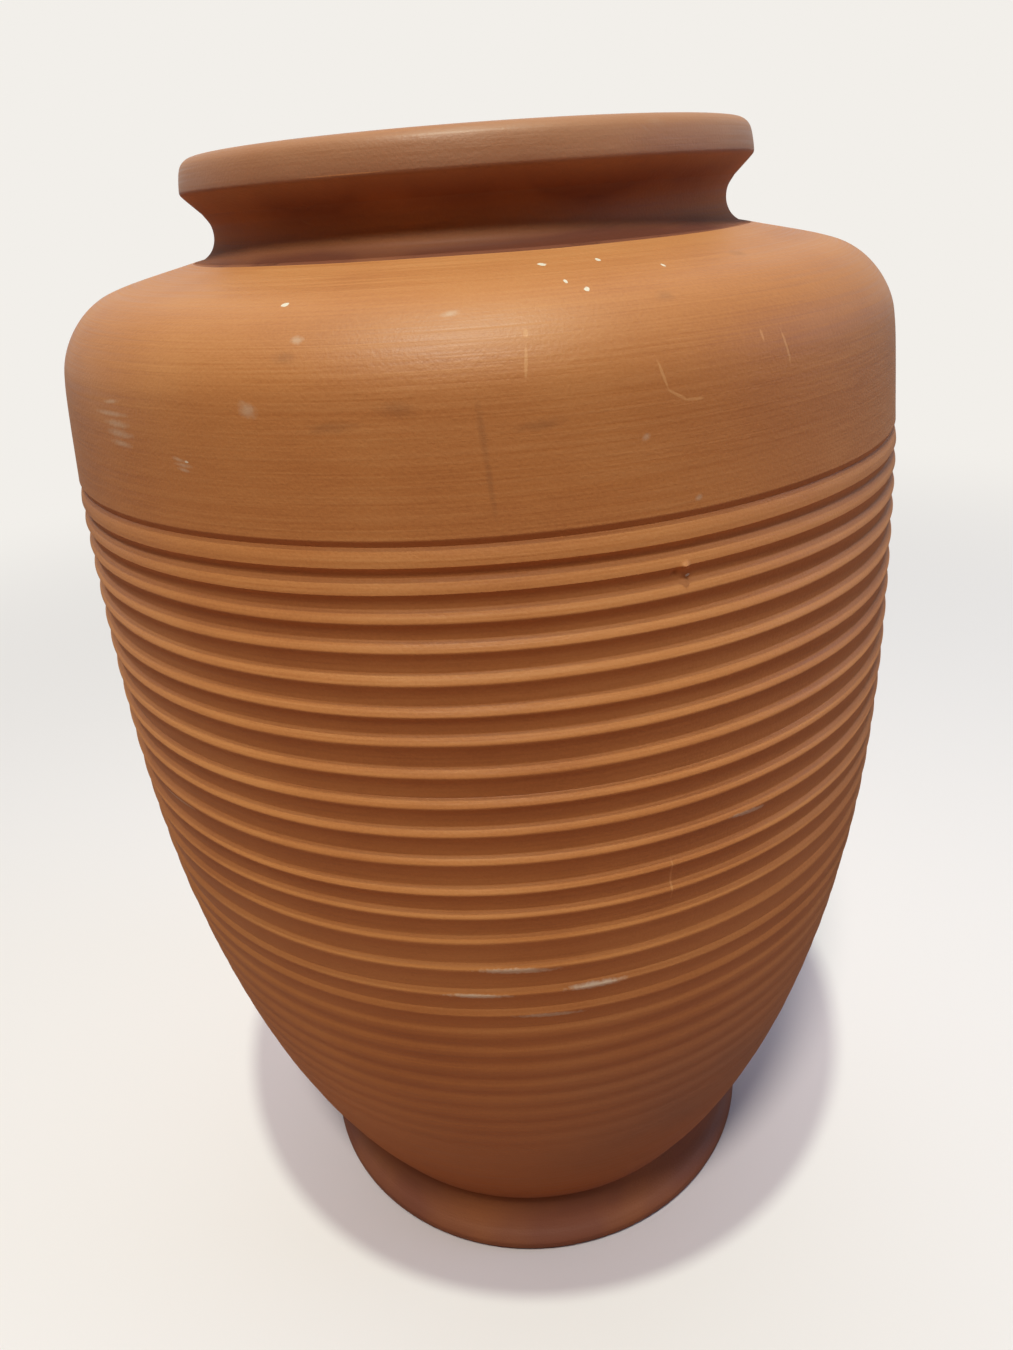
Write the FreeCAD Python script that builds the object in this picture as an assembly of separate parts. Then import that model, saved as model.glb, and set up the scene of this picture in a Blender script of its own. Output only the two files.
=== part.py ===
import FreeCAD, Part
import math
import os

# Terracotta floor pithos, raised on the wheel in zones that are luted one on another and fired as one
# rigid pot. Millimetres, +Z up. The origin is the centre of the resting face, so the pot stands on z = 0.
# Every zone is one full turn, about the Z axis, of a closed outline of (radius, height) points.

# Foot and floor
foot_radius = 120.0
foot_height = 28.5
foot_flare = 11.0
foot_wall = 14.0
foot_lip_height = 9.0
foot_lip_proud = 2.0
floor_thickness = 14.0
floor_seat_width = 4.0

# Body wall. Its envelope is the plain surface that the grooves are turned into.
wall_thickness = 10.0
root_overhang = 1.8
belly_radius = 170.7
lower_rise = 261.5
upper_rise = 104.5
cove_size = 9.0

# Shoulder and neck
shoulder_rise = 59.0
shoulder_draw_in = 11.8
shoulder_round_share = 0.655
crown_rise = 11.9
neck_hollow_radius = 9.5
neck_hollow_turn = 135.0

# Rim
rim_radius = 108.6
rim_overhang = 9.6
rim_band_height = 11.5
rim_lean = 2.2
rim_under_round = 2.0
rim_top_round = 6.0
mouth_round = 5.0

# Turned ribs, from the first groove under the shoulder down. Each groove runs in under the rib above it
# to its deepest ring, and the bevel of the next rib comes out again.
upper_rib_count = 8
belly_rib_count = 7
rib_pitch_top = 9.1
rib_pitch_bottom = 13.0
rib_depth = 1.9
rib_bevel_height = 2.2
rib_land_height = 2.4
land_rib_count = 3
fading_rib_count = 4
faint_depth_share = 0.6
first_groove_height = 2.1

# A seam between two zones is beveled: its inner edge stands this much higher than its outer edge.
seam_rise = 4.0

# Straight steps along each curved stretch
large_round_steps = 5
small_round_steps = 3
hollow_steps = 5
plain_steps = 5
inner_steps = 3

# Heights, radii and counts that follow from the sizes above
waist_radius = foot_radius - foot_flare
root_radius = waist_radius + root_overhang
shoulder_radius = belly_radius - shoulder_draw_in
neck_radius = rim_radius - rim_overhang
belly_height = foot_height + lower_rise
groove_height = belly_height + upper_rise
shoulder_height = groove_height + shoulder_rise
crease_height = shoulder_height + crown_rise
crease_radius = neck_radius + neck_hollow_radius
mouth_radius = neck_radius - wall_thickness
seat_radius = waist_radius - foot_wall
floor_radius = seat_radius + floor_seat_width
shoulder_round = (shoulder_radius - crease_radius) * shoulder_round_share
rib_count = upper_rib_count + belly_rib_count


def turned(outline):
    """One full turn of a closed outline about the Z axis."""
    points = [FreeCAD.Vector(radius, 0, height) for radius, height in outline]
    face = Part.Face(Part.makePolygon(points + points[:1]))
    return face.revolve(FreeCAD.Vector(0, 0, 0), FreeCAD.Vector(0, 0, 1), 360)


def rounded(before, corner, after, radius, steps):
    """Points on the arc that rounds a corner between two straight runs of an outline."""
    back = math.atan2(before[1] - corner[1], before[0] - corner[0])
    ahead = math.atan2(after[1] - corner[1], after[0] - corner[0])
    opening = math.remainder(ahead - back, math.tau)
    middle_way = back + opening / 2
    reach = radius / math.sin(abs(opening) / 2)
    centre = (corner[0] + reach * math.cos(middle_way), corner[1] + reach * math.sin(middle_way))
    turn = math.copysign(math.pi - abs(opening), -opening)
    points = []
    for i in range(steps + 1):
        angle = middle_way + math.pi + turn * (i / steps - 1 / 2)
        points.append((centre[0] + radius * math.cos(angle), centre[1] + radius * math.sin(angle)))
    return points


def stepped(radius_at, start, end, steps):
    """Points on a curved wall between two heights, without its two ends."""
    heights = [start + (end - start) * i / steps for i in range(1, steps)]
    return [(radius_at(height), height) for height in heights]


def envelope(height):
    """Outer radius of the plain wall: an ellipse below the widest ring and a long arc above it."""
    from_belly = height - belly_height
    if from_belly < 0:
        reach = lower_rise / math.sqrt(1 - (root_radius / belly_radius) ** 2)
        return belly_radius * math.sqrt(1 - (from_belly / reach) ** 2)
    drop = belly_radius - shoulder_radius
    span = shoulder_height - belly_height
    arc_radius = (span ** 2 + drop ** 2) / (2 * drop)
    return belly_radius - arc_radius + math.sqrt(arc_radius ** 2 - from_belly ** 2)


def inside(height):
    return envelope(height) - wall_thickness


def groove_depth(k):
    """The first grooves grow deeper on the way down, and the last ones grow shallow again."""
    growing = min(k / land_rib_count, 1)
    fading = min((rib_count - k) / fading_rib_count, 1)
    return rib_depth * (faint_depth_share + (1 - faint_depth_share) * min(growing, fading))


def groove_ring(k):
    """The deepest ring of groove k. The pitch grows evenly on the way down."""
    growth = (rib_pitch_bottom - rib_pitch_top) / (rib_count - 1)
    height = groove_height - k * rib_pitch_top - growth * k * (k - 1) / 2
    return envelope(height) - groove_depth(k), height


def rib(k):
    """The crest of the rib below groove k and, on the first ribs, the end of the land under it."""
    crest = groove_ring(k)[1] - rib_bevel_height
    if k >= land_rib_count:
        return [(envelope(crest), crest)]
    land_end = crest - rib_land_height
    return [(envelope(crest), crest), (envelope(land_end), land_end)]


def ribbed_zone(first, last):
    """The wall from groove first down to groove last."""
    outline = [groove_ring(first)]
    for k in range(first, last):
        outline += rib(k)
        outline.append(groove_ring(k + 1))
    low = groove_ring(last)[1] + seam_rise
    high = groove_ring(first)[1] + seam_rise
    return turned(outline + [(inside(low), low), (inside(high), high)])


def foot_ring():
    """A flared ring with a lip at the floor, hollow beneath, and rebated for the floor disc."""
    ledge = foot_height - floor_thickness
    return turned([
        (foot_radius - foot_wall, 0),
        (foot_radius - foot_lip_proud, 0),
        (foot_radius, foot_lip_height / 3),
        (foot_radius, foot_lip_height * 2 / 3),
        (foot_radius - foot_lip_proud, foot_lip_height),
        (waist_radius, foot_height),
        (floor_radius, foot_height),
        (floor_radius, ledge),
        (seat_radius, ledge),
    ])


def floor_disc():
    """The pot's floor, which lies in the rebate of the foot ring."""
    ledge = foot_height - floor_thickness
    return Part.makeCylinder(floor_radius, floor_thickness, FreeCAD.Vector(0, 0, ledge))


def lower_wall():
    """From the crease above the foot up to the last crisp groove, with a cove in the inner corner."""
    top = groove_ring(rib_count)
    crest = rib(rib_count)
    seam = top[1] + seam_rise
    cove = foot_height + cove_size
    outer = [top] + crest + stepped(envelope, crest[-1][1], foot_height, plain_steps)
    root = [(root_radius, foot_height), (inside(foot_height) - cove_size, foot_height), (inside(cove), cove)]
    return turned(outer + root + stepped(inside, cove, seam, inner_steps) + [(inside(seam), seam)])


def shoulder():
    """The smooth wall above the ribs, turned in to the crease where the neck stands."""
    groove = groove_ring(0)
    lip = groove[1] + first_groove_height
    wall = (envelope(lip), lip)
    turn = (shoulder_radius, shoulder_height)
    crease = (crease_radius, crease_height)
    seam_low = groove[1] + seam_rise
    seam_high = crease_height + seam_rise
    inner_wall = (inside(seam_low), seam_low)
    inner_turn = (inside(shoulder_height - wall_thickness), shoulder_height - wall_thickness)
    inner_crown = (mouth_radius, crease_height - wall_thickness)
    inner_round = shoulder_round - wall_thickness
    return turned(
        [groove, wall]
        + rounded(wall, turn, crease, shoulder_round, large_round_steps)
        + [crease, (mouth_radius, seam_high), inner_crown]
        + rounded(inner_crown, inner_turn, inner_wall, inner_round, small_round_steps)
        + [inner_wall]
    )


def hollow_point(turn_deg):
    """A point on the neck's hollow, an arc that starts at the crease and turns in, up and out."""
    turn = math.radians(turn_deg)
    return (crease_radius - neck_hollow_radius * math.sin(turn),
            crease_height + neck_hollow_radius * (1 - math.cos(turn)))


def neck():
    hollow = [hollow_point(neck_hollow_turn * i / hollow_steps) for i in range(hollow_steps + 1)]
    seam_low = crease_height + seam_rise
    seam_high = hollow[-1][1] + seam_rise
    return turned(hollow + [(mouth_radius, seam_high), (mouth_radius, seam_low)])


def rim():
    """A rolled band that overhangs the neck and rounds over into the mouth."""
    start = hollow_point(neck_hollow_turn)
    slope = math.radians(180 - neck_hollow_turn)
    under = (rim_radius, start[1] + (rim_radius - start[0]) * math.tan(slope))
    top = under[1] + rim_band_height
    shoulder_edge = (rim_radius - rim_lean, top)
    mouth_edge = (mouth_radius, top)
    seam = (mouth_radius, start[1] + seam_rise)
    return turned(
        [start]
        + rounded(start, under, shoulder_edge, rim_under_round, small_round_steps)
        + rounded(under, shoulder_edge, mouth_edge, rim_top_round, small_round_steps)
        + rounded(shoulder_edge, mouth_edge, seam, mouth_round, small_round_steps)
        + [seam]
    )


def main():
    os.makedirs("parts", exist_ok=True)
    zones = {
        "foot_ring": foot_ring(),
        "floor_disc": floor_disc(),
        "lower_wall": lower_wall(),
        "belly_wall": ribbed_zone(upper_rib_count, rib_count),
        "upper_wall": ribbed_zone(0, upper_rib_count),
        "shoulder": shoulder(),
        "neck": neck(),
        "rim": rim(),
    }
    for name, shape in zones.items():
        shape.exportStep(f"parts/{name}.step")
        box = shape.BoundBox
        print(f"{name}: {box.ZMin:.1f} to {box.ZMax:.1f} mm high, {box.XMax:.1f} mm outer radius")


main()
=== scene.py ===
# %% [markdown]
# # A turned terracotta pithos
#
# The real object is one pot of fired clay, about half a metre high. Its potter threw it in zones, luted
# the zones together while they were leather-hard, cut ribs into the wall as it turned, and left it
# unglazed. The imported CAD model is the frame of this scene. It gives every size, and each of its eight
# nodes is replaced here by a finer piece of the same zone, in the same place.

import math

import bmesh
import bpy
import numpy as np
from mathutils import Matrix, Vector


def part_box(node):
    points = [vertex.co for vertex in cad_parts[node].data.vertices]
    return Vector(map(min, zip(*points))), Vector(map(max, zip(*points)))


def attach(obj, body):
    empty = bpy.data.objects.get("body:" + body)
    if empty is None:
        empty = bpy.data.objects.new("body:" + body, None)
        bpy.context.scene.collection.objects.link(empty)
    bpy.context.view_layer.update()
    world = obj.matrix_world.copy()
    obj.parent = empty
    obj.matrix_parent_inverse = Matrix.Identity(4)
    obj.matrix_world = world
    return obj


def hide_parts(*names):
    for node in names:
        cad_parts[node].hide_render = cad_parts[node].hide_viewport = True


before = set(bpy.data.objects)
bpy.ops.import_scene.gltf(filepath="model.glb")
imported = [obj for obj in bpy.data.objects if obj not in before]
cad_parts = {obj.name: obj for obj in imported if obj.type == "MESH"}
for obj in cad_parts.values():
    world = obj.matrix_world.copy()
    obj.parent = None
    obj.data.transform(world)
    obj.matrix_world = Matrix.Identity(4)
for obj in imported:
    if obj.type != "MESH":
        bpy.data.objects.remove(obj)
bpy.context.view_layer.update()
METRES = 0.001
zones_up = ("foot_ring", "lower_wall", "belly_wall", "upper_wall", "shoulder", "neck", "rim")
print("nodes in the frame:", ", ".join(sorted(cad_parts)))

# %% [markdown]
# ## Read the outlines
#
# Whatever is turned on a wheel is told by its outline, a closed line of radius and height. A node's mesh
# repeats each point of that line as a ring of vertices, so the points can be read back: vertices with the
# same radius and height are one ring, and a face joins two rings that are neighbours. Reading them keeps
# this script true to the CAD model when a size changes there, which a copied list of numbers wouldn't.
# The outline starts at the lowest, outermost ring and goes up the outside. Rings on a straight run, which
# come only from the way the faces were cut up, are left out.

# %% Rings and outlines
SAME_RING = 0.05
STRAIGHT = 0.02


def ring_near(rings, point):
    """The number of the ring at this radius and height, which is added if it is new."""
    for number, ring in enumerate(rings):
        if math.dist(ring, point) < SAME_RING:
            return number
    rings.append(point)
    return len(rings) - 1


def bend(before, point, after):
    """How far a point lies from the straight line between its two neighbours."""
    run = Vector(after) - Vector(before)
    return abs(run.cross(Vector(point) - Vector(before))) / run.length


def outline_of(node):
    """The (radius, height) points of a turned node in millimetres, up the outside and down the inside."""
    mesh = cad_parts[node].data
    rings = []
    number = [ring_near(rings, (math.hypot(*v.co.xy) / METRES, v.co.z / METRES)) for v in mesh.vertices]
    beside = {n: set() for n in range(len(rings))}
    for face in mesh.polygons:
        for n in (number[i] for i in face.vertices):
            beside[n].update(number[i] for i in face.vertices if number[i] != n)
    walk = [min(beside, key=lambda n: (round(rings[n][1], 1), -rings[n][0]))]
    walk.append(max(beside[walk[0]], key=lambda n: rings[n][0]))
    while len(walk) < len(rings):
        walk.append(next(n for n in beside[walk[-1]] if n not in walk))
    points = [rings[n] for n in walk]
    around = zip(points[-1:] + points[:-1], points, points[1:] + points[:1])
    return [point for before, point, after in around if bend(before, point, after) > STRAIGHT]


outlines = {node: outline_of(node) for node in zones_up}
for node, points in outlines.items():
    print(f"{node}: {len(points)} points, {points[0][1]:.1f} mm up to {max(p[1] for p in points):.1f} mm")

# %% [markdown]
# ## The outside of the wall, and where the zones meet
#
# A zone's outside ends where the next zone starts, so both sides of a seam come from one point. The seams
# are fired away on the real pot. They were laid in the bottoms of grooves and in creases, where the line
# is broken anyway, and the pieces here meet there too.

# %% Split outside from inside
starts = {node: outlines[node][0] for node in zones_up}


def nearest(rings, point):
    """The number of the ring that lies nearest to this radius and height."""
    return min(range(len(rings)), key=lambda i: math.dist(rings[i], point))


def outside_of(node):
    """The outside of a zone, from its lowest ring up to the one where the zone above starts."""
    above = zones_up[zones_up.index(node) + 1]
    return outlines[node][: nearest(outlines[node], starts[above]) + 1]


def inside_of(node):
    """What is left of the outline after its outside, from the top seam's inner ring down."""
    return outlines[node][len(outside_of(node)):]


wall_line = []
for node in ("lower_wall", "belly_wall", "upper_wall", "shoulder"):
    wall_line += outside_of(node)[:-1]
wall_line.append(starts["neck"])
print(f"the wall's outside has {len(wall_line)} points, and its widest ring is "
      f"{2 * max(p[0] for p in wall_line):.1f} mm across")

# %% [markdown]
# ## Grooves and the plain wall
#
# The turner cut the ribs into a plain egg-shaped wall. Two things describe the result: the rings where a
# groove is deepest, and the smooth curve that all the crests touch. The deepest rings are the places
# where the radius is smaller than on both sides. One polynomial through the other rings gives the plain
# wall back, and it can be asked for a radius at any height, which a list of rings can't.
#
# The CAD's grooves are as deep as the tool could have cut. Light reaches the inner corners in the
# photograph, so the real ones are a little shallower, and so are these.

# %% Find the grooves and the plain wall
GROOVE_SIGN = 0.6
CUT_SHARE = 0.9
WALL_DEGREE = 7
grooves = []
crests = []
for below, here, above in zip(wall_line, wall_line[1:], wall_line[2:]):
    is_groove = min(below[0], above[0]) - here[0] > GROOVE_SIGN
    (grooves if is_groove else crests).append(here)
grooves.sort(key=lambda ring: -ring[1])
lip = min((ring for ring in crests if ring[1] > grooves[0][1]), key=lambda ring: ring[1])
plain_rings = wall_line[:1] + [ring for ring in crests if ring[1] <= lip[1] + STRAIGHT]
plain_wall = np.polynomial.Polynomial.fit(
    [height for radius, height in plain_rings], [radius for radius, height in plain_rings], WALL_DEGREE)
groove_depths = [CUT_SHARE * (plain_wall(height) - radius) for radius, height in grooves]
off = max(abs(plain_wall(height) - radius) for radius, height in plain_rings)
print(f"{len(grooves)} grooves, {min(groove_depths):.2f} to {max(groove_depths):.2f} mm deep; "
      f"the plain wall passes within {off:.2f} mm of every crest")

# %% [markdown]
# ## How the ribs were cut
#
# Going down over one rib, the line first comes out of the groove on a bevel that faces up and catches the
# light. It rounds over a crest, keeps a flat land on the first ribs, and is then undercut by a flank that
# faces down at first, in deep shade, and grows steeper and lighter until the next bevel starts at a crisp
# inner corner. A screw modifier or a stack of tori can't give this lopsided section, so the section is
# written as a depth for every distance below the groove. The bevel is slightly hollow, so it faces up most
# just above its crest, and the flank is half a parabola. The deeper of the two counts, and a soft maximum
# between them rounds the crest.
#
# The turner's hand drifted a little from an even spacing. The drift was read off the photograph for each
# groove, to the nearest half millimetre. Under the crisp ribs, soft ones fade out towards the foot.

# %% The section of a rib
HAND_DRIFT = (0, 0, 0, 0, 0.5, 1, 0.5, 1, 1.5, 1, 1, 1.5, 0, -1, -0.5, -0.5)
BEVEL_TOP = 3.4
BEVEL_BOTTOM = 2.4
BEVEL_HOLLOW = 1.1
FIRST_LAND = 2.4
LAND_FADE = 1.6
CREST_ROUND = 1.1
CREST_LIFT = CREST_ROUND / 4
SOFT_RINGS = 10
SOFT_PITCH = 11.2
SOFT_DEPTH = 1.1
SOFT_FADE = 1.3
SOFT_BEVEL = 4.6
SOFTENS_OVER = 3

BEVEL_SHARES = np.array((0, 0.08, 0.3, 0.55, 0.75))
CREST_SPREAD = np.array((-0.9, -0.6, -0.35, -0.12, 0.12, 0.35, 0.6, 0.9))
FLANK_SHARES = np.array((0, 0.04, 0.14, 0.26, 0.4, 0.56, 0.75, 0.96))
CLOSEST = 0.12
CLOSEST_SOFT = 0.8


def rib_line(top, bottom, bevel, land, crispness):
    """The (radius, height) points of one rib, from the groove above it down to the groove below it."""
    pitch = top["height"] - bottom["height"]
    flank = pitch - bevel - land
    stops = [BEVEL_SHARES * bevel, bevel + CREST_SPREAD, bevel + land + FLANK_SHARES * flank]
    down = np.sort(np.concatenate(stops))
    down = down[np.diff(down, prepend=-1) > CLOSEST + (CLOSEST_SOFT - CLOSEST) * (1 - crispness)]
    along = down / bevel
    sink = np.clip((down - bevel - land) / flank, 0, 1)
    bevel_line = (top["depth"] + CREST_LIFT) * (1 - along ** BEVEL_HOLLOW)
    flank_line = (bottom["depth"] + CREST_LIFT) * (1 - (1 - sink) ** 2)
    rounding = np.clip(CREST_ROUND - abs(bevel_line - flank_line), 0, None) ** 2 / (4 * CREST_ROUND)
    crisp_depth = np.maximum(bevel_line, flank_line) + rounding - CREST_LIFT
    wave = top["depth"] * np.cos(np.pi / 2 * np.clip(along, 0, 1)) ** 2
    soft_depth = wave + bottom["depth"] * np.sin(np.pi / 2 * sink) ** 2
    depth = crisp_depth * crispness + soft_depth * (1 - crispness)
    heights = top["height"] - down
    return list(zip(plain_wall(heights) - depth, heights))


cuts = [{"height": ring[1] - drift, "depth": depth}
        for ring, depth, drift in zip(grooves, groove_depths, HAND_DRIFT)]
crisp_count = len(cuts) - 1
for j in range(1, SOFT_RINGS + 1):
    fade = 1 - (j / (SOFT_RINGS + 1)) ** SOFT_FADE
    cuts.append({"height": cuts[crisp_count]["height"] - j * SOFT_PITCH, "depth": SOFT_DEPTH * fade})
cuts.append({"height": cuts[-1]["height"] - SOFT_PITCH, "depth": 0})


def rib_at(k):
    """The line of the rib below groove k, with the sizes that ribs have at that place."""
    softness = min(max((k - crisp_count - 1) / SOFTENS_OVER, 0), 1)
    crisp_bevel = BEVEL_TOP + (BEVEL_BOTTOM - BEVEL_TOP) * min(k / (crisp_count - 1), 1)
    bevel = crisp_bevel * (1 - softness) + SOFT_BEVEL * softness
    land = FIRST_LAND * math.exp(-k / LAND_FADE)
    return rib_line(cuts[k], cuts[k + 1], bevel, land, 1 - softness)


def ribs_between(first, last):
    """The wall's outside from groove last up to groove first."""
    line = [point for k in range(first, last) for point in rib_at(k)]
    end = cuts[last]
    line.append((plain_wall(end["height"]) - end["depth"], end["height"]))
    return line[::-1]


print(f"ribs between {cuts[0]['height']:.1f} and {cuts[crisp_count]['height']:.1f} mm, and soft rings "
      f"down to {cuts[-1]['height']:.1f} mm")

# %% [markdown]
# ## A line that flows through its points
#
# Wet clay is smoothed with a sponge or a rib of wood, so the shoulder, neck and rim have no straight
# facets. The CAD outline has a few points on each curve. A Catmull-Rom curve passes through all of them,
# and its centripetal form doesn't bulge where long and short steps meet, as they do round the rim.

# %% A flowing line


def flowing(points, step):
    """Points at most about a step apart, in millimetres, on a smooth curve through the given points."""
    given = [Vector(point) for point in points]
    given = [2 * given[0] - given[1]] + given + [2 * given[-1] - given[-2]]
    line = []
    for before, start, end, after in zip(given, given[1:], given[2:], given[3:]):
        first, middle, last = (
            (b - a).length ** 0.5 for a, b in ((before, start), (start, end), (end, after)))
        leave = (start - before) / first - (end - before) / (first + middle) + (end - start) / middle
        arrive = (end - start) / middle - (after - start) / (middle + last) + (after - end) / last
        count = max(2, math.ceil((end - start).length / step))
        for i in range(count):
            t = i / count
            blend = t * t * (3 - 2 * t)
            pull = leave * (t * (1 - t) ** 2) - arrive * (t * t * (1 - t))
            line.append(tuple(start * (1 - blend) + end * blend + pull * middle))
    line.append(tuple(points[-1]))
    return line


# %% [markdown]
# ## The outline of each zone
#
# Each zone gets a closed outline again, up the outside and down the inside, now with its fine form. The
# lowest part of the wall curls in to meet the foot. Inside, the wall follows the plain outer wall at one
# wall thickness, and a hollow cove leads it into the floor.

# %% Outlines of the wall zones
CURL_HEIGHT = 4.5
WALL_STEP = 6.0
CURL_SHARES = (0.08, 0.2, 0.36, 0.56, 0.78)
COVE_IN = 0.62
COVE_UP = 0.26
COVE_FLOW = 1.6

inner_seam = {node: inside_of(node)[0] for node in zones_up[1:-1]}
wall_thickness = plain_wall(inner_seam["belly_wall"][1]) - inner_seam["belly_wall"][0]


def heights_between(low, high):
    """Heights at most a wall step apart, both ends included."""
    return np.linspace(low, high, 1 + math.ceil(abs(high - low) / WALL_STEP))


def inner_wall(high, low):
    """The inside of the wall, a wall's thickness in from the plain outside, going down."""
    return [(plain_wall(height) - wall_thickness, height) for height in heights_between(high, low)]


def lower_wall_line():
    """Outside and inside of the wall between the foot and the last crisp rib."""
    waist_radius, foot_top = outside_of("foot_ring")[-1]
    overhang = starts["lower_wall"][0] - waist_radius
    curl = [(plain_wall(foot_top + share * CURL_HEIGHT) - overhang * (1 - share) ** 2,
             foot_top + share * CURL_HEIGHT) for share in CURL_SHARES]
    plain = [(plain_wall(height), height)
             for height in heights_between(foot_top + CURL_HEIGHT, cuts[-1]["height"])[:-1]]
    outside = [(waist_radius, foot_top)] + curl + plain + ribs_between(crisp_count, len(cuts) - 1)
    cove_top, floor_edge = inside_of("lower_wall")[-2:]
    hollow = (floor_edge[0] + (cove_top[0] - floor_edge[0]) * COVE_IN,
              floor_edge[1] + (cove_top[1] - foot_top) * COVE_UP)
    cove = flowing([cove_top, hollow, floor_edge], COVE_FLOW)
    return outside, inner_wall(inner_seam["lower_wall"][1], cove_top[1])[:-1] + cove


def ribbed_line(node, first, last):
    """Outside and inside of a zone whose ribs lie between two of the grooves."""
    return ribs_between(first, last), inner_wall(inner_seam[node][1], inside_of(node)[-1][1])


upper_count = nearest(grooves, starts["upper_wall"])
zone_lines = {
    "lower_wall": lower_wall_line(),
    "belly_wall": ribbed_line("belly_wall", upper_count, crisp_count),
    "upper_wall": ribbed_line("upper_wall", 0, upper_count),
}
print(f"wall {wall_thickness:.1f} mm thick, ribs 1 to {upper_count} on the upper wall")

# %% [markdown]
# The shoulder, neck and rim follow the CAD points on flowing lines. Where the bore meets the underside of
# the shoulder, the potter's finger leaves a soft edge instead of the CAD's corner. The foot ring keeps its
# bead, and the flare over it is hollow, most of all just above the bead. Its resting face is flat, with
# the two edges worn round.

# %% Outlines of the shoulder, neck, rim and foot
FINE_FLOW = 0.8
SHOULDER_FLOW = 2.0
INNER_FLOW = 3.0
BORE_EDGE = 3.0
FLARE_HOLLOW = 1.8
HOLLOW_LEAN = 1.8
FLARE_SHARES = (0.85, 0.7, 0.55, 0.4, 0.25, 0.1)
WORN_EDGE = 1.2
RECESS_EDGE = 2.0
LIP_EDGE = 0.35


def towards(start, end, distance):
    """The point at a distance from start on the straight line to end."""
    way = Vector(end) - Vector(start)
    return tuple(Vector(start) + way * (distance / way.length))


def straight_line(start, end):
    """Points about a wall step apart from start to end, without the end."""
    count = max(1, round(math.dist(start, end) / WALL_STEP))
    return [tuple(Vector(start).lerp(Vector(end), i / count)) for i in range(count)]


def shoulder_line():
    """From the first groove over the smooth shoulder to the crease, and back along its inside."""
    lip_ring, *turn = outside_of("shoulder")[1:]
    groove = ribs_between(0, 1)[-1]
    bore_top, bore_edge, *inner_turn = inside_of("shoulder")
    before = towards(bore_edge, bore_top, BORE_EDGE)
    after = towards(bore_edge, inner_turn[0], BORE_EDGE)
    edge = tuple((Vector(before) + Vector(after) + 2 * Vector(bore_edge)) / 4)
    inside = straight_line(bore_top, before) + flowing([before, edge, after] + inner_turn, INNER_FLOW)
    wall = flowing([lip_ring] + turn, SHOULDER_FLOW)
    lip_edge = [towards(lip_ring, groove, LIP_EDGE), lip_ring, towards(lip_ring, wall[1], LIP_EDGE)]
    return [groove] + lip_edge + wall[1:], inside


def neck_line():
    """The hollow outside of the neck, and its straight bore."""
    hollow = flowing(outside_of("neck"), FINE_FLOW)
    top, bottom = inside_of("neck")
    return hollow, straight_line(top, bottom) + [bottom]


def rim_line():
    """From the neck's seam out under the band, over the rim and down into the mouth."""
    *over, bore_top, bore_seam = outlines["rim"]
    top = max(height for radius, height in over)
    over = [(radius, min(height, top)) for radius, height in flowing(over + [bore_top], FINE_FLOW)]
    split = max(range(len(over)), key=lambda i: over[i][1])
    return over[: split + 1], over[split + 1:] + straight_line(bore_top, bore_seam)[1:] + [bore_seam]


def foot_line():
    """From the resting face over the bead and up the flare, then back under the foot."""
    floor_outer, bead_low, bead_high, bead_top, waist, *inner = outlines["foot_ring"]
    seat_top, seat_corner, ledge, floor_inner = inner
    flare = []
    for share in FLARE_SHARES:
        radius, height = Vector(waist).lerp(Vector(bead_top), share)
        flare.append((radius - FLARE_HOLLOW * math.sin(math.pi * share ** HOLLOW_LEAN), height))
    bead_middle = ((bead_low[0] + bead_high[0]) / 2, (bead_low[1] + bead_high[1]) / 2)
    worn = towards(floor_outer, floor_inner, WORN_EDGE)
    bead = [floor_outer, bead_low, bead_middle, bead_high, bead_top]
    outside = [worn] + flowing(bead + flare + [waist], FINE_FLOW)
    rise = towards(floor_inner, ledge, RECESS_EDGE)
    inner_edge = [rise, towards(floor_inner, ledge, RECESS_EDGE / 3),
                  towards(floor_inner, floor_outer, WORN_EDGE)]
    inside = [seat_top, seat_corner, ledge] + straight_line(ledge, rise)[1:]
    return outside, inside + flowing(inner_edge, FINE_FLOW)


zone_lines.update(shoulder=shoulder_line(), neck=neck_line(), rim=rim_line(), foot_ring=foot_line())
for node, (outside, inside) in zone_lines.items():
    print(f"{node}: {len(outside)} rings outside, {len(inside)} inside")

# %% [markdown]
# ## The turner's hand
#
# No thrown wall is a perfect solid of revolution. The wheel wobbles a little, a rib wanders up and down by
# a tenth of a millimetre, and the fingers leave a shallow spiral inside that is never sponged away. All of
# it is written as a few waves round the pot, which close on themselves after a full turn. The sway only
# ever moves the wall inwards, so the pot keeps its greatest size. Turn 0 is the side that faces the viewer,
# and turns grow towards the right. A row in a table of waves gives how often the wave goes round, how many
# millimetres up move it on by one radian, where it starts, and its share.
#
# A crumb of clay stuck to the second rib before the firing, and beside it the rib was dented. Both are
# bumps of the mesh itself, so the rings get extra points round that place.

# %% Waves and the crumb
ROUND_STEPS = 480
SWAY = 0.3
SWAY_WAVES = ((2, 60, 0, 1), (3, -35, 1, 1), (7, 11, 0, 0.5))
WANDER = 0.12
WANDER_WAVES = ((5, 4, 0, 1), (11, -7, 0, 0.5))
FINGER_DEPTH = 0.45
FINGER_PITCH = 15.0
STEADY_ENDS = (12, 480)
FINGERED = (45, 440)
DIES_OUT_OVER = 20
CRUMB_TURN = math.radians(19.2)
CRUMB_HEIGHT = 380.6
CRUMB = {"turn": CRUMB_TURN, "height": CRUMB_HEIGHT, "out": 0.9, "size": 1.5}
DENT = {"turn": CRUMB_TURN - math.radians(1.1), "height": CRUMB_HEIGHT - 1.2, "out": -0.7, "size": 1.3}
FINE_REACH = math.radians(2.5)
FINE_STEP = math.radians(0.14)

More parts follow.
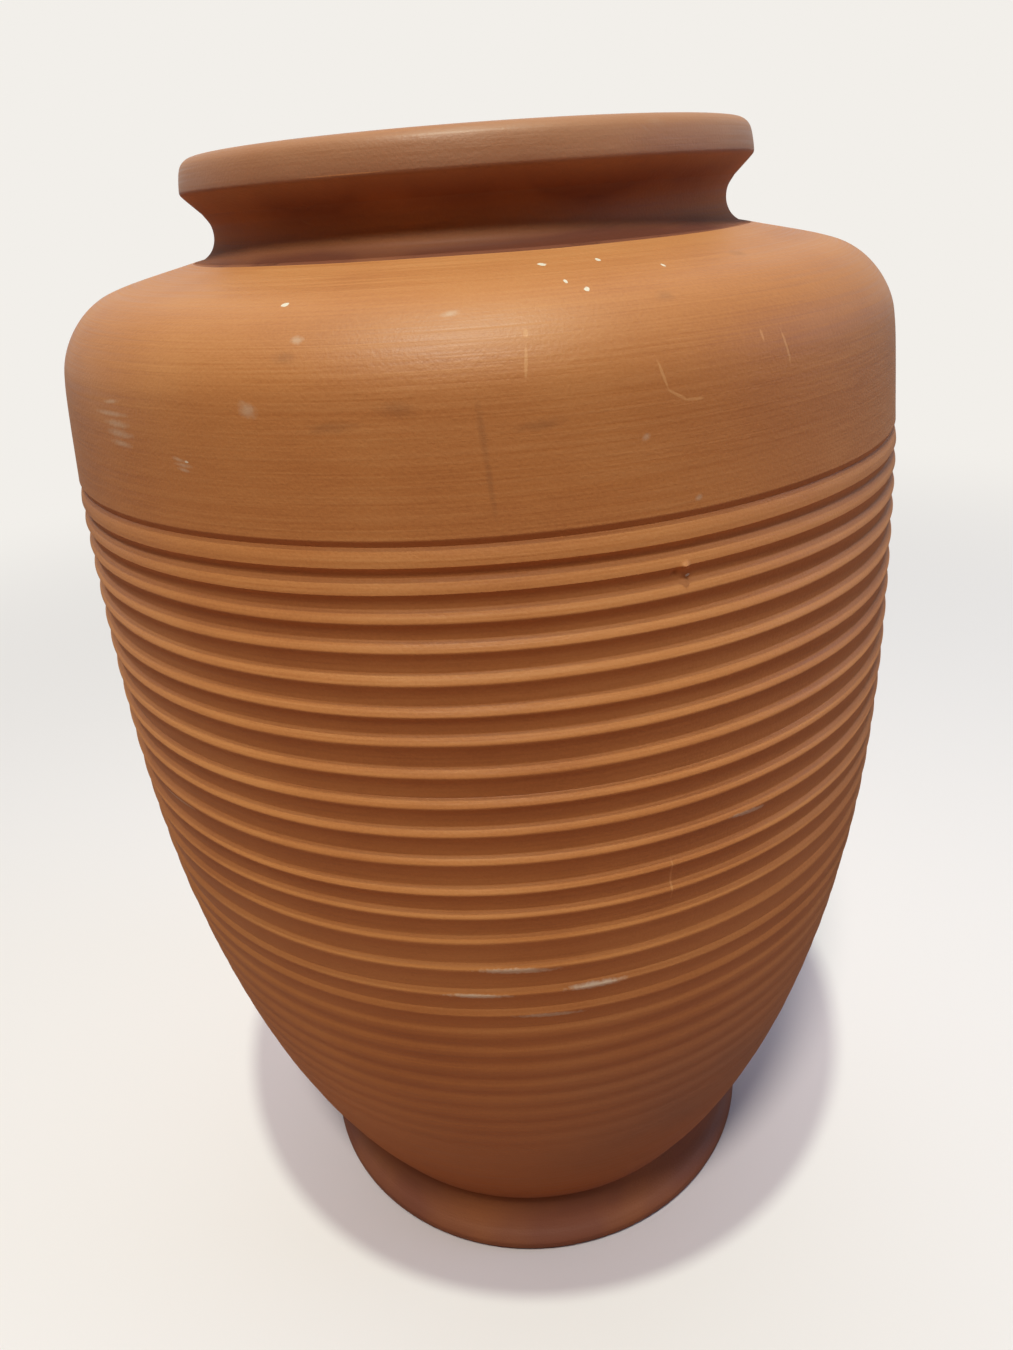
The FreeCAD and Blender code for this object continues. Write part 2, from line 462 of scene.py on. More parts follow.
coarse = np.arange(ROUND_STEPS) * math.tau / ROUND_STEPS
fine = np.arange(CRUMB_TURN - FINE_REACH, CRUMB_TURN + FINE_REACH, FINE_STEP)
coarse = coarse[abs(coarse - CRUMB_TURN) > FINE_REACH + FINE_STEP / 2]
turns = np.sort(np.concatenate([coarse, fine]))


def waves(turn, height, table):
    """The sum of a table of waves that wind round the pot."""
    return sum(share * np.sin(count * turn + height / rise + start) for count, rise, start, share in table)


def sway(turn, height):
    """How far the wall lies inside its true circle."""
    return -SWAY * (0.5 + waves(turn, height, SWAY_WAVES) / 5)


def free_between(place, ends, fade=DIES_OUT_OVER):
    """1 well inside two ends, and dying out over a short way towards each of them."""
    return np.clip(np.minimum(place - ends[0], ends[1] - place) / fade, 0, 1)


def wander(turn, height):
    """How far a ring rises or sinks on its way round. It dies out at the foot and at the rim's top."""
    return WANDER * free_between(height, STEADY_ENDS) * waves(turn, height, WANDER_WAVES)


def finger_marks(turn, height):
    """The spiral that the fingers leave inside, up to the smooth neck."""
    spiral = np.sin(math.tau * height / FINGER_PITCH - turn)
    return FINGER_DEPTH * free_between(height, FINGERED) * spiral


def bump(turn, height, radius, place):
    """A round bump of the outside, or a dent where it goes in."""
    away = ((turn - place["turn"]) * radius) ** 2 + (height - place["height"]) ** 2
    return place["out"] * np.exp(-away / (2 * (place["size"] / 2) ** 2))


# %% [markdown]
# ## Turn the outlines
#
# Blender's Screw and Spin tools revolve a profile, but give no say over each ring. Here the rings are laid
# out as one grid of numbers, rings by turns, and the waves are added to the whole grid at once. The faces
# are the cells of that grid. A zone's outline is closed, so its last ring joins its first. Edges where the
# surface breaks by more than 35 degrees are drawn sharp, and the rest is shaded smooth.

# %% Build a turned piece
SHARP_BREAK = math.radians(35)


def ring_mesh(name, radius, height, closed):
    """A mesh of rings by turns, from the radius and height of every point in millimetres."""
    grid = np.stack([radius * np.sin(turns), -radius * np.cos(turns), height], axis=-1) * METRES
    number = np.arange(grid.shape[0] * grid.shape[1]).reshape(grid.shape[:2])
    above = np.roll(number, -1, axis=0)
    faces = np.stack([number, np.roll(number, -1, axis=1), np.roll(above, -1, axis=1), above], axis=-1)
    if not closed:
        faces = faces[:-1]
    mesh = bpy.data.meshes.new(name)
    mesh.from_pydata(grid.reshape(-1, 3).tolist(), [], faces.reshape(-1, 4).tolist())
    return mesh


def finished(name, mesh):
    """The object for a mesh, shaded smooth up to its sharp edges."""
    mesh.shade_smooth()
    mesh.set_sharp_from_angle(angle=SHARP_BREAK)
    piece = bpy.data.objects.new(name, mesh)
    bpy.context.scene.collection.objects.link(piece)
    return piece


def turned_piece(name, outside, inside):
    """A closed mesh, turned about the Z axis, from the outside and the inside of a zone."""
    rings = np.array(outside + inside)
    is_inside = (np.arange(len(rings)) >= len(outside))[:, None]
    radius, height = rings[:, :1], rings[:, 1:]
    shape = sway(turns, height) + np.where(is_inside, finger_marks(turns, height), 0)
    for place in (CRUMB, DENT):
        shape = shape + np.where(is_inside, 0, bump(turns, height, radius, place))
    return finished(name, ring_mesh(name, radius + shape, height + wander(turns, height), closed=True))


def stand_for(piece, node):
    """The piece takes the place of a CAD node and its body."""
    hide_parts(node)
    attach(piece, "root")
    return piece


pieces = {}
for node, (outside, inside) in zone_lines.items():
    pieces[node] = stand_for(turned_piece(f"pot_{node}", outside, inside), node)
    print(f"{node}: {len(pieces[node].data.polygons)} faces")

# %% [markdown]
# ## The floor of the pot
#
# The floor is a slab in the rebate of the foot ring. Its top carries the spiral that the thrower's finger
# drew from the middle outwards, with a small navel at the centre, and its underside the rings of the
# turning tool. Only this piece crosses the axis. Its innermost rings have no radius, so their points are
# merged into one.

# %% Build the floor
NAVEL_RISE = 1.2
NAVEL_SIZE = 9.0
SPIRAL_DEPTH = 0.5
TOOL_DEPTH = 0.15
TOOL_PITCH = 5.0
SLAB_STEP = 3.0
SLAB_FADE = 12.0

low, high = (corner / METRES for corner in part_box("floor_disc"))
cove_edge = inside_of("lower_wall")[-1][0]
slab_radius = outlines["foot_ring"][nearest(outlines["foot_ring"], (high.x, low.z))][0]


def floor_piece(name):
    """The slab, from the middle of its top out to its edge and back along its underside."""
    top = np.linspace(0, slab_radius, math.ceil(slab_radius / SLAB_STEP))
    rings = np.array([(radius, low.z) for radius in top] + [(radius, high.z) for radius in top[::-1]])
    radius, height = rings[:, :1], rings[:, 1:]
    on_top = height > (low.z + high.z) / 2
    free = free_between(radius, (0, cove_edge), SLAB_FADE)
    spiral = SPIRAL_DEPTH * (np.sin(math.tau * radius / FINGER_PITCH - turns) - 1)
    navel = NAVEL_RISE * np.exp(-(radius / NAVEL_SIZE) ** 2)
    tool = TOOL_DEPTH * free * np.sin(math.tau * radius / TOOL_PITCH) ** 2
    height = height + np.where(on_top, spiral * free + navel, tool)
    mesh = ring_mesh(name, radius, height, closed=False)
    work = bmesh.new()
    work.from_mesh(mesh)
    bmesh.ops.remove_doubles(work, verts=work.verts, dist=SAME_RING * METRES / 10)
    work.to_mesh(mesh)
    work.free()
    return finished(name, mesh)


pieces["floor_disc"] = stand_for(floor_piece("pot_floor_disc"), "floor_disc")
print(f"floor_disc: {len(pieces['floor_disc'].data.polygons)} faces")

# %% [markdown]
# ## Nodes and colours
#
# A node needs a kind, its settings, and what goes into its inputs. One function does all three: an input
# that is given another node's output is linked, and any other value is set on the socket. Colours are
# written as sRGB hex, as a colour picker shows them, and one function turns them to the linear values
# that Blender calculates with.

# %% Two helpers for materials


def add(tree, kind, inputs=None, **settings):
    """Adds a node, gives it its settings, and links or sets its inputs by name or number."""
    node = tree.nodes.new(kind)
    for name, value in settings.items():
        setattr(node, name, value)
    for socket, value in (inputs or {}).items():
        if isinstance(value, bpy.types.NodeSocket):
            tree.links.new(value, node.inputs[socket])
        else:
            node.inputs[socket].default_value = value
    return node


def linear(hex_colour):
    """The linear RGBA values of an sRGB hex colour."""
    parts = [int(hex_colour[i: i + 2], 16) / 255 for i in (1, 3, 5)]
    return tuple(c / 12.92 if c <= 0.04045 else ((c + 0.055) / 1.055) ** 2.4 for c in parts) + (1,)


# %% [markdown]
# ## Unglazed terracotta
#
# Terracotta is low-fired earthenware. Iron oxide turns it orange, a little more or less so from place to
# place with the heat and the air in the kiln. The surface was turned and wiped while it was damp, which
# leaves hair-fine lines round the pot and a matt, faintly silky skin, rougher than glazed ware and far
# smoother than brick. The base is a Principled shader with the refractive index of fired clay, about
# 1.5, no metal, and a high roughness.
#
# Its colour is built up from the clay's own scales: clouds about 60 mm across from the kiln, soft bands
# about 12 mm wide, wiping lines under a millimetre wide, and grains of half a millimetre. The lines
# have to follow the turning, on the steep wall and on the flat shoulder alike. Noise that is squeezed
# along height minus radius does that, because one of the two always changes across the lines. The grains
# are drawn about twice as coarse as they are, or they wouldn't show.

# %% The clay's colours and patterns
CLAY = "#C27C46"
CLAY_PALE = "#D3925A"
CLAY_DARK = "#A25B31"
CLOUD_SIZE = 60.0
BAND_WIDTH = 12.0
BAND_LENGTH = 280.0
LINE_WIDTH = 0.9
LINE_LENGTH = 70.0
GRAIN_SIZE = 1.0
CLOUD_WEIGHT = 0.8
BAND_WEIGHT = 0.35
LINE_WEIGHT = 0.6
GRAIN_WEIGHT = 0.35
DARKEST = -0.6
PALEST = 0.6


def per_metre(size_mm):
    """The noise scale whose features are about this size."""
    return 1 / (size_mm * METRES)


clay = bpy.data.materials.new("unglazed turned terracotta")
clay.use_nodes = True
tree = clay.node_tree
tree.nodes.clear()
place = add(tree, "ShaderNodeTexCoord").outputs["Object"]
flat = add(tree, "ShaderNodeVectorMath", {0: place, 1: (1, 1, 0)}, operation="MULTIPLY").outputs["Vector"]
radius_here = add(tree, "ShaderNodeVectorMath", {0: flat}, operation="LENGTH").outputs["Value"]
axes = add(tree, "ShaderNodeSeparateXYZ", {0: place})
across = add(tree, "ShaderNodeMath", {0: axes.outputs["Z"], 1: radius_here}, operation="SUBTRACT").outputs[0]
turned_place = add(tree, "ShaderNodeCombineXYZ", {
    0: axes.outputs["X"], 1: axes.outputs["Y"], 2: across}).outputs[0]


def stretched_noise(length_mm, width_mm, detail):
    """Noise in streaks of this length round the pot and this width across the turning lines."""
    scale = (per_metre(length_mm), per_metre(length_mm), per_metre(width_mm))
    squeezed = add(tree, "ShaderNodeVectorMath", {0: turned_place, 1: scale}, operation="MULTIPLY")
    return add(tree, "ShaderNodeTexNoise", {
        "Vector": squeezed.outputs["Vector"], "Scale": 1, "Detail": detail}).outputs["Fac"]


def even_noise(size_mm, detail):
    """Noise in blots of this size, the same in every direction."""
    return add(tree, "ShaderNodeTexNoise", {
        "Vector": place, "Scale": per_metre(size_mm), "Detail": detail}).outputs["Fac"]


clouds = even_noise(CLOUD_SIZE, detail=3)
grains = even_noise(GRAIN_SIZE, detail=2)
bands = stretched_noise(BAND_LENGTH, BAND_WIDTH, detail=2)
lines = stretched_noise(LINE_LENGTH, LINE_WIDTH, detail=2)
shade = add(tree, "ShaderNodeMath", {
    0: clouds, 1: CLOUD_WEIGHT, 2: -CLOUD_WEIGHT / 2}, operation="MULTIPLY_ADD").outputs[0]
for pattern, weight in ((bands, BAND_WEIGHT), (lines, LINE_WEIGHT), (grains, GRAIN_WEIGHT)):
    swing = add(tree, "ShaderNodeMath", {0: pattern, 1: 0.5}, operation="SUBTRACT").outputs[0]
    shade = add(tree, "ShaderNodeMath", {0: swing, 1: weight, 2: shade}, operation="MULTIPLY_ADD").outputs[0]
tone = add(tree, "ShaderNodeMapRange", {
    "Value": shade, "From Min": DARKEST, "From Max": PALEST}).outputs[0]
ramp = add(tree, "ShaderNodeValToRGB", {0: tone})
ramp.color_ramp.elements[0].color = linear(CLAY_DARK)
ramp.color_ramp.elements[1].color = linear(CLAY_PALE)
ramp.color_ramp.elements.new(0.5).color = linear(CLAY)
print(f"{clay.name}: {len(tree.nodes)} nodes for the plain clay")

# %% [markdown]
# ## Marks of use
#
# The pot has stood about for years. White flecks of lime sit on the shoulder, other pots have scratched
# and scuffed it, the ribs are rubbed where it was lifted, and water left a few dark stains. Painting them
# on an image would need a texture map. Here each mark is a small ellipsoid in space, and it lies on the
# wall between two places. A place is a turn in degrees and a height in millimetres, and the number after
# the two places is the mark's width in millimetres. A Mapping node moves, turns and scales the ellipsoid
# to a unit ball, and whatever is nearer to its centre than 1 is inside. Noise added to that distance makes
# its edge ragged. All the marks of one kind share a colour, and the largest of their masks counts.

# %% Where the marks are, and what they look like
MARK_DEPTH = 2.5
RAGGED = 1.3
RAGGED_SIZE = 1.6
marks = {
    "lime fleck": {"colour": "#EADFD0", "strength": 0.9, "soft": 0.3, "places": (
        ((-22.7, 457.2), (-22.1, 457.4), 0.9), ((9.0, 462.1), (9.5, 462.2), 0.9),
        ((17.0, 462.0), (17.2, 462.0), 0.8), ((10.4, 458.3), (10.4, 458.3), 0.9),
        ((12.1, 456.3), (12.3, 456.3), 1.1), ((24.0, 459.5), (24.1, 459.5), 0.7),
        ((-33.0, 417.1), (-32.7, 417.0), 0.6), ((19.6, 377.0), (19.8, 377.2), 0.9))},
    "scratch": {"colour": "#DDA06A", "strength": 0.6, "soft": 0.6, "places": (
        ((4.6, 448.4), (4.6, 447.6), 1.3), ((4.4, 444.0), (4.1, 437.7), 0.9),
        ((33.1, 440.0), (33.7, 432.2), 0.9), ((30.2, 441.5), (30.3, 439.5), 0.8),
        ((17.3, 437.9), (18.2, 430.2), 0.8), ((18.2, 430.2), (20.1, 427.1), 0.8),
        ((20.1, 427.1), (21.9, 426.8), 0.8), ((17.6, 276.4), (17.7, 261.5), 0.8),
        ((-32.0, 477.5), (-30.6, 476.6), 0.8))},
    "dark stain": {"colour": "#7A4E36", "strength": 0.25, "soft": 1.2, "places": (
        ((-20.6, 445.3), (-19.4, 445.3), 2.4), ((-9.2, 431.8), (-7.4, 431.4), 3.4),
        ((-17.0, 427.2), (-13.2, 428.0), 2.2), ((3.6, 425.0), (6.8, 425.5), 2.2),
        ((20.0, 452.9), (20.8, 452.9), 2.2), ((-0.6, 430.3), (-0.2, 417.4), 1.8),
        ((-0.2, 417.4), (0.2, 404.0), 1.5), ((37.0, 460.1), (38.6, 460.1), 1.6))},
    "pale scuff": {"colour": "#E0CCBA", "strength": 0.85, "soft": 0.8, "places": (
        ((30.2, 495.9), (31.2, 494.4), 0.8), ((-4.6, 239.2), (2.4, 238.2), 2.4),
        ((5.6, 226.8), (10.9, 226.8), 2.8), ((-9.4, 226.4), (-3.2, 226.0), 1.8),
        ((-0.8, 214.4), (6.0, 213.6), 2.2), ((26.2, 286.4), (30.0, 285.4), 1.8),
        ((-52.7, 283.1), (-45.2, 285.1), 1.8))},
    "faint rub": {"colour": "#D6BBA6", "strength": 0.42, "soft": 1.2, "places": (
        ((-3.3, 453.3), (-2.3, 453.6), 1.1), ((32.2, 497.4), (34.2, 496.6), 2.2),
        ((15.4, 418.7), (15.6, 418.9), 1.5), ((21.0, 399.7), (21.2, 399.9), 1.3),
        ((-19.2, 449.3), (-18.6, 449.3), 1.6), ((-24.3, 432.6), (-23.8, 432.0), 3.2),
        ((-34.6, 417.8), (-33.4, 417.2), 0.9), ((-34.2, 416.2), (-32.6, 415.8), 1.0),
        ((-33.9, 414.8), (-32.9, 414.4), 0.9), ((-47.0, 431.6), (-44.6, 432.2), 1.0),
        ((-48.6, 428.2), (-43.4, 428.4), 1.2), ((-46.8, 425.6), (-43.0, 425.4), 1.7),
        ((-46.2, 422.8), (-42.6, 422.6), 1.9), ((-45.6, 419.8), (-42.8, 419.6), 1.5))},
}

outline_up = [point for node in zones_up for point in zone_lines[node][0]]


def on_the_pot(turn_deg, height):
    """The place on the outside of the pot at this turn and height, in metres."""
    radius = np.interp(height, [h for r, h in outline_up], [r for r, h in outline_up])
    turn = math.radians(turn_deg)
    return Vector((radius * math.sin(turn), -radius * math.cos(turn), height)) * METRES


def mark_mask(start, end, width, soft, ragged):
    """1 inside a mark that reaches from start to end, and 0 outside it."""
    first, last = on_the_pot(*start), on_the_pot(*end)
    middle = (first + last) / 2
    outwards = Vector((middle.x, middle.y, 0)).normalized()
    along = last - first
    half_length = along.length / 2 + width / 2 * METRES
    along = along.normalized() if along.length > 0 else Vector((-outwards.y, outwards.x, 0))
    away = along.cross(outwards).normalized()
    turned = Matrix((along, away, along.cross(away))).transposed().to_euler()
    ball = add(tree, "ShaderNodeMapping", {
        0: place, "Location": middle, "Rotation": turned,
        "Scale": (half_length, width / 2 * METRES, MARK_DEPTH * METRES)}, vector_type="TEXTURE").outputs[0]
    reach = add(tree, "ShaderNodeVectorMath", {0: ball}, operation="LENGTH").outputs["Value"]
    broken = add(tree, "ShaderNodeMath", {0: reach, 1: ragged}, operation="ADD").outputs[0]
    return add(tree, "ShaderNodeMapRange", {
        "Value": broken, "From Min": 1 + soft / 2, "From Max": 1 - soft / 2}).outputs[0]


# %% [markdown]
# The kinds of marks are laid over the clay one after another. Each is mixed in by its mask times its
# strength, so a weak one lets the clay show through.

# %% Lay the marks over the clay
ragged = add(tree, "ShaderNodeMath", {
    0: even_noise(RAGGED_SIZE, detail=3), 1: RAGGED, 2: -RAGGED / 2}, operation="MULTIPLY_ADD").outputs[0]
colour = ramp.outputs["Color"]
for name, mark in marks.items():
    mask = 0
    for start, end, width in mark["places"]:
        found = mark_mask(start, end, width, mark["soft"], ragged)
        mask = add(tree, "ShaderNodeMath", {0: mask, 1: found}, operation="MAXIMUM").outputs[0]
    amount = add(tree, "ShaderNodeMath", {0: mask, 1: mark["strength"]}, operation="MULTIPLY").outputs[0]
    colour = add(tree, "ShaderNodeMix", {
        0: amount, 6: colour, 7: linear(mark["colour"])}, data_type="RGBA").outputs[2]
    print(f"{name}: {len(mark['places'])} marks")

# %% [markdown]
# ## Tinted rings: painted shade, painted light and dust
#
# Painted shade darkens the crease between the body and the foot, the neck's hollow below the rim, most of
# all in front, and the foot with the wall just above it, which lie in the pot's own shadow. A painted cool,
# mauve side light tints the lower wall, more towards the right, and dust lies on the rim. Each of these is
# a ring with a height, a reach up and down, and two radii between which it lies, so that the inside of the
# pot is left untinted. The kiln's clouds make all of them patchy.

# %% Tint the rings
# Where the neck's painted shade lies and fades to the sides, and where the painted side light grows.
NECK_RADII = (93, 108.3)
FRONT_TO_SIDE = (-90, -20)
LEFT_TO_RIGHT = (-80, 60)
SHADY_SIDE = 0.45
painted_light_and_dust_rings = {
    # Painted shade: the crease between the body and the foot is darkened where shade falls into it.
    "crease over the foot": {
        "height": 29.5, "reach": 3.6, "radii": (104, 130), "colour": "#40323A", "strength": 2.2},
    # Painted shade: the neck's hollow is darkened where the rim shades it from the lamps above.
    "painted shade below the rim": {
        "height": 486.0, "reach": 20.0, "radii": NECK_RADII, "colour": "#7C4127", "strength": 2.4},
    # Painted shade, carried down the neck to the crease where it meets the shoulder.
    "painted shade at the neck's crease": {
        "height": 465.5, "reach": 8.5, "radii": NECK_RADII, "colour": "#7C4127", "strength": 2.2},
    # Painted shade: the foot and the wall just above it are darkened, as they lie in the pot's own shadow.
    "damp round the foot": {
        "height": 0.0, "reach": 70.0, "radii": (104, 160), "colour": "#8F5540", "strength": 2.0},
    # Painted light: a cool, mauve tint of side light on the lower wall, stronger towards the right.
    "painted cool light on the lower wall": {
        "height": 110.0, "reach": 130.0, "radii": (104, 175), "colour": "#94634F", "strength": 1.3},
    "dust on the rim": {
        "height": 494.0, "reach": 14.0, "radii": (98, 112), "colour": "#B6805F", "strength": 1.6},
}


def ring_mask(height, reach, radii):
    """1 on a ring at this height, fading to 0 at its reach, and only between two radii."""
    above = add(tree, "ShaderNodeMath", {
        0: axes.outputs["Z"], 1: height * METRES}, operation="SUBTRACT").outputs[0]
    away = add(tree, "ShaderNodeMath", {0: above}, operation="ABSOLUTE").outputs[0]
    near = add(tree, "ShaderNodeMapRange", {
        "Value": away, "From Min": reach * METRES, "From Max": 0}, interpolation_type="SMOOTHSTEP").outputs[0]
    middle = (radii[0] + radii[1]) / 2 * METRES
    half_width = (radii[1] - radii[0]) / 2 * METRES
    within = add(tree, "ShaderNodeMath", {
        0: radius_here, 1: middle, 2: half_width}, operation="COMPARE").outputs[0]
    return add(tree, "ShaderNodeMath", {0: near, 1: within}, operation="MULTIPLY").outputs[0]


def rising_along(axis, low, high):
    """0 up to the lower of two places on an axis, and rising to 1 at the higher."""
    return add(tree, "ShaderNodeMapRange", {
        "Value": axes.outputs[axis], "From Min": low * METRES, "From Max": high * METRES}).outputs[0]


# Painted shade in the neck: full in front, down to a share at the sides. Painted side light: left to right.
sides = rising_along("Y", *FRONT_TO_SIDE)
front = add(tree, "ShaderNodeMath", {0: sides, 1: SHADY_SIDE - 1, 2: 1}, operation="MULTIPLY_ADD").outputs[0]
strongest_at = {
    "painted shade below the rim": front,
    "painted shade at the neck's crease": front,
    "painted cool light on the lower wall": rising_along("X", *LEFT_TO_RIGHT),
}
# Each ring mixes in its colour: painted shade, painted cool side light, or dust on the rim.
for name, ring in painted_light_and_dust_rings.items():
    mask = ring_mask(ring["height"], ring["reach"], ring["radii"])
    if name in strongest_at:
        mask = add(tree, "ShaderNodeMath", {0: mask, 1: strongest_at[name]}, operation="MULTIPLY").outputs[0]
    patchy = add(tree, "ShaderNodeMath", {0: clouds, 1: ring["strength"]}, operation="MULTIPLY").outputs[0]
    amount = add(tree, "ShaderNodeMath", {
        0: mask, 1: patchy}, operation="MULTIPLY", use_clamp=True).outputs[0]
    colour = add(tree, "ShaderNodeMix", {
        0: amount, 6: colour, 7: linear(ring["colour"])}, data_type="RGBA").outputs[2]
    print(f"{name}: {ring['reach']:.0f} mm either way of {ring['height']:.0f} mm")

# %% [markdown]
# ## The clay's skin
#
# The roughness follows the wiping lines. Soot takes the shine off the neck, most of all at its sides,
# where light grazes it. A bump node raises the lines, the grains and some shallow pits, which are too
# small to be worth any faces. The refractive index and the faint sheen of the dust are the same all over,
# so they are set on the shader itself.

# %% Roughness, bump and the shader
LINES_LOW = 0.3
LINES_HIGH = 0.7
SMOOTHEST = 0.44
ROUGHEST = 0.62
SOOT_HEIGHT = 472.0
SOOT_REACH = 26.0
SOOT_IN_FRONT = 0.15
SOOT_AT_SIDES = 0.4
PIT_SIZE = 3.5
PIT_LENGTH = 8.75
LINE_RELIEF = 0.5
PIT_RELIEF = 0.9
SKIN_STRENGTH = 0.6
SKIN_HEIGHT = 0.15
CLAY_IOR = 1.5
DUST = 0.04

roughness = add(tree, "ShaderNodeMapRange", {
    "Value": lines, "From Min": LINES_LOW, "From Max": LINES_HIGH,
    "To Min": SMOOTHEST, "To Max": ROUGHEST}).outputs[0]
dull = add(tree, "ShaderNodeMath", {
    0: sides, 1: SOOT_AT_SIDES - SOOT_IN_FRONT, 2: SOOT_IN_FRONT}, operation="MULTIPLY_ADD").outputs[0]
matt = add(tree, "ShaderNodeMath", {
    0: ring_mask(SOOT_HEIGHT, SOOT_REACH, NECK_RADII), 1: dull, 2: roughness},
    operation="MULTIPLY_ADD").outputs[0]
pits = stretched_noise(PIT_LENGTH, PIT_SIZE, detail=1)
relief = grains
for pattern, weight in ((lines, LINE_RELIEF), (pits, PIT_RELIEF)):
    relief = add(tree, "ShaderNodeMath", {
        0: pattern, 1: weight, 2: relief}, operation="MULTIPLY_ADD").outputs[0]
rough_skin = add(tree, "ShaderNodeBump", {
    "Height": relief, "Strength": SKIN_STRENGTH, "Distance": SKIN_HEIGHT * METRES}).outputs["Normal"]
shader = add(tree, "ShaderNodeBsdfPrincipled", {
    "Base Color": colour, "Roughness": matt, "IOR": CLAY_IOR, "Sheen Weight": DUST, "Normal": rough_skin})
add(tree, "ShaderNodeOutputMaterial", {"Surface": shader.outputs[0]})
for piece in pieces.values():
    piece.data.materials.append(clay)
print(f"{clay.name}: {len(tree.nodes)} nodes on {len(pieces)} pieces")

# %% [markdown]
# ## A plain studio
#
# The pot stands on a plain pale floor. A small lamp overhead, a little in front, casts the shadow that lies
# round its foot in the photograph. A softbox high in front lights the wall and the bevels of the ribs, and
# a cool, faint one at the right lights that edge. Some even light comes from behind, where the photograph
# is bright too. A lamp's level is what it gives a white card at the pot. Their sum is a little under 1,
# so nothing pale is burnt out.
#
# The floor is pale to the camera. To the light that bounces it is a reddish earth colour, because it is
# what the undersides of the ribs see. Further out it fades into the same pale tone as the background, so
# no horizon shows.

# %% Lamps, floor and world
PALE = "#F2EFEA"
FLOOR_TONE = "#F3E9EE"
BOUNCE = "#A4765E"
FLOOR_SIZE = 12.0
FADE_FROM = 0.5
FADE_TO = 1.6
EVEN_LIGHT = (0.86, 0.93, 1, 1)
DIM_UNTIL = -0.2
BRIGHT_FROM = 0.9
LIGHT_IN_FRONT = 0.03
LIGHT_BEHIND = 0.9


def hang_lamp(name, place, size, level, colour):
    """A soft disc lamp that faces the pot and lights a white card there to this level."""
    data = bpy.data.lights.new(name, "AREA")
    data.shape = "DISK"
    data.size = size
    data.color = colour
    data.energy = level * math.pi ** 2 * place.length_squared
    lamp = bpy.data.objects.new(name, data)
    lamp.location = place
    lamp.rotation_euler = (-place).to_track_quat("-Z", "Y").to_euler()
    bpy.context.scene.collection.objects.link(lamp)
    print(f"{name}: {data.energy:.0f} W, {place.length:.2f} m away")


hang_lamp("overhead lamp", Vector((-0.06, -0.49, 3.1)), size=0.12, level=0.4, colour=(0.86, 1, 0.8))
hang_lamp("front softbox", Vector((-0.25, -1.45, 3.2)), size=0.5, level=0.47, colour=(1, 0.97, 0.85))
hang_lamp("side softbox", Vector((2.6, -0.2, 1.4)), size=1.2, level=0.12, colour=(0.45, 0.65, 1))

floor_mesh = bpy.data.meshes.new("floor")
half = FLOOR_SIZE / 2
corners = [(x * half, y * half, 0) for x, y in ((-1, -1), (1, -1), (1, 1), (-1, 1))]
floor_mesh.from_pydata(corners, [], [(0, 1, 2, 3)])
floor = bpy.data.objects.new("floor", floor_mesh)
bpy.context.scene.collection.objects.link(floor)

pale_floor = bpy.data.materials.new("pale studio floor")
pale_floor.use_nodes = True
tree = pale_floor.node_tree
tree.nodes.clear()
seen = add(tree, "ShaderNodeLightPath").outputs["Is Camera Ray"]
colour = add(tree, "ShaderNodeMix", {
    0: seen, 6: linear(BOUNCE), 7: linear(FLOOR_TONE)}, data_type="RGBA").outputs[2]
lit = add(tree, "ShaderNodeBsdfDiffuse", {"Color": colour})
glow = add(tree, "ShaderNodeEmission", {"Color": linear(PALE)})
spot = add(tree, "ShaderNodeTexCoord").outputs["Object"]
distance = add(tree, "ShaderNodeVectorMath", {0: spot}, operation="LENGTH").outputs["Value"]
far = add(tree, "ShaderNodeMapRange", {"Value": distance, "From Min": FADE_FROM, "From Max": FADE_TO},
          interpolation_type="SMOOTHSTEP").outputs[0]
fade = add(tree, "ShaderNodeMath", {0: far, 1: seen}, operation="MULTIPLY").outputs[0]
mixed = add(tree, "ShaderNodeMixShader", {0: fade, 1: lit.outputs[0], 2: glow.outputs[0]})
add(tree, "ShaderNodeOutputMaterial", {"Surface": mixed.outputs[0]})
floor_mesh.materials.append(pale_floor)

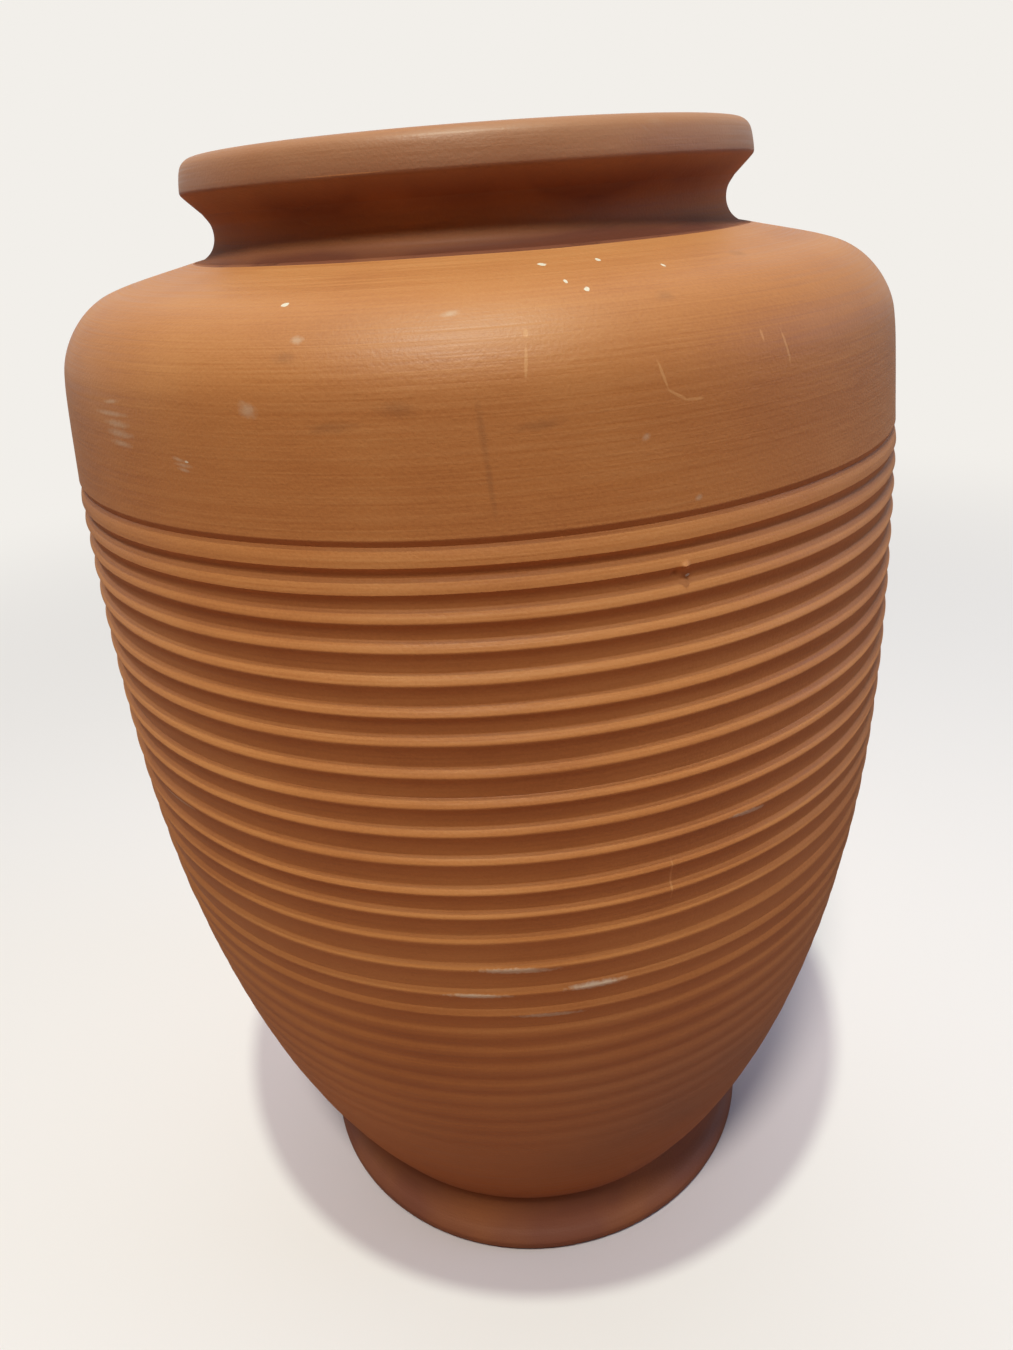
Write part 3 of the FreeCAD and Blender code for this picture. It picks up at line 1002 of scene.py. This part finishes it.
world = bpy.data.worlds.new("even light")
world.use_nodes = True
tree = world.node_tree
tree.nodes.clear()
seen = add(tree, "ShaderNodeLightPath").outputs["Is Camera Ray"]
way = add(tree, "ShaderNodeSeparateXYZ", {0: add(tree, "ShaderNodeTexCoord").outputs["Generated"]})
behind = add(tree, "ShaderNodeMapRange", {
    "Value": way.outputs["Y"], "From Min": DIM_UNTIL, "From Max": BRIGHT_FROM,
    "To Min": LIGHT_IN_FRONT, "To Max": LIGHT_BEHIND}).outputs[0]
even = add(tree, "ShaderNodeBackground", {"Color": EVEN_LIGHT, "Strength": behind})
backdrop = add(tree, "ShaderNodeBackground", {"Color": linear(PALE), "Strength": 1})
mixed = add(tree, "ShaderNodeMixShader", {0: seen, 1: even.outputs[0], 2: backdrop.outputs[0]})
add(tree, "ShaderNodeOutputWorld", {"Surface": mixed.outputs[0]})
bpy.context.scene.world = world

# %% [markdown]
# ## The camera
#
# The photograph was taken from just over arm's length away, looking down, with a wide lens. The place,
# the tilt and the lens were found by fitting the rings of the pot to one camera. The whole frame is 1013
# by 1350 pixels, so its long side is the height, and the focal length was found in those pixels.

# %% Place the camera
FRAME_HEIGHT = 1350
FOCAL_PIXELS = 945.1
SENSOR = 36.0
EYE = Vector((0, -0.4166, 0.4806))
YAW = math.radians(0.09)
PITCH = math.radians(26.873)
ROLL = math.radians(4.346)

ahead = Vector((math.sin(YAW) * math.cos(PITCH), math.cos(YAW) * math.cos(PITCH), -math.sin(PITCH)))
level_right = Vector((math.cos(YAW), -math.sin(YAW), 0))
level_down = ahead.cross(level_right)
right = level_right * math.cos(ROLL) + level_down * math.sin(ROLL)
down = level_down * math.cos(ROLL) - level_right * math.sin(ROLL)
camera_data = bpy.data.cameras.new("camera")
camera_data.sensor_width = SENSOR
camera_data.lens = SENSOR * FOCAL_PIXELS / FRAME_HEIGHT
camera_data.clip_start = 0.01
camera = bpy.data.objects.new("camera", camera_data)
camera.matrix_world = Matrix.Translation(EYE) @ Matrix((right, -down, -ahead)).transposed().to_4x4()
bpy.context.scene.collection.objects.link(camera)
bpy.context.scene.camera = camera
bpy.context.scene.view_settings.view_transform = "Standard"
print(f"lens {camera_data.lens:.1f} mm, {EYE.length:.2f} m from the middle of the foot")
